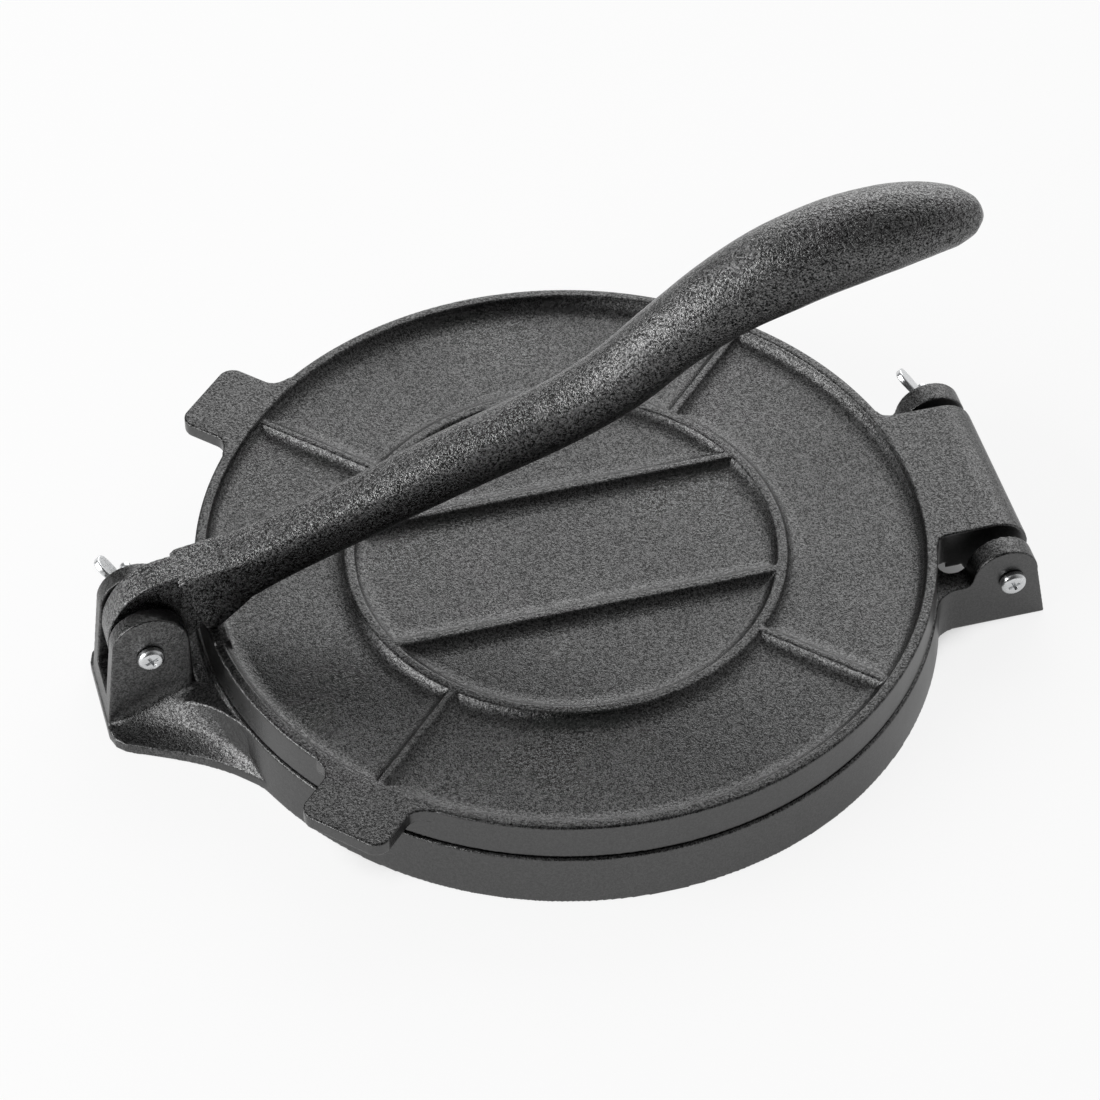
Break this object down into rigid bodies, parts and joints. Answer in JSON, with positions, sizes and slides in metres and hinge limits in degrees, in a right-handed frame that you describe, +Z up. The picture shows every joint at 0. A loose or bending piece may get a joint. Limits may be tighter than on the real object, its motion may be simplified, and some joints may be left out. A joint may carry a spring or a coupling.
{
  "type": "tortilla press",
  "caption": "Round cast-iron tortilla press: base, hinged ribbed upper plate and a curved pivoting lever that presses the plate down.",
  "frame": {"origin": "middle of the round base, on the plane it stands on", "axes": "+X from the lever pivot towards the plate hinge, +Z up, +Y towards the wing nuts"},
  "size_m": [0.2678, 0.2134, 0.1389],
  "materials": {
    "base_iron": "seasoned sand-cast iron, fine grain, semi-gloss black",
    "plate_iron": "seasoned sand-cast iron, fine grain, semi-gloss black",
    "lever_iron": "seasoned sand-cast iron, coarser grain, semi-gloss black",
    "zinc_steel": "bright zinc-plated steel"
  },
  "bodies": {
    "base": {"base": "base_iron", "lever_pivot_bolt": "zinc_steel", "lever_wing_nut": "zinc_steel", "hinge_bolt": "zinc_steel", "hinge_wing_nut": "zinc_steel"},
    "upper_plate": {"upper_plate": "plate_iron"},
    "lever": {"lever": "lever_iron"}
  },
  "joints": [
    {"name": "lever_pivot", "type": "hinge", "parent": "base", "child": "lever", "pos_m": [-0.1216, 0, 0.0282], "axis": [0, -1, 0], "range_deg": [0, 155]},
    {"name": "plate_hinge", "type": "hinge", "parent": "base", "child": "upper_plate", "pos_m": [0.1213, 0, 0.016], "axis": [0, 1, 0], "range_deg": [0, 105]}
  ],
  "couplings": [
    {"joint": "plate_hinge", "follows": "lever_pivot", "ratio": 0.08}
  ]
}
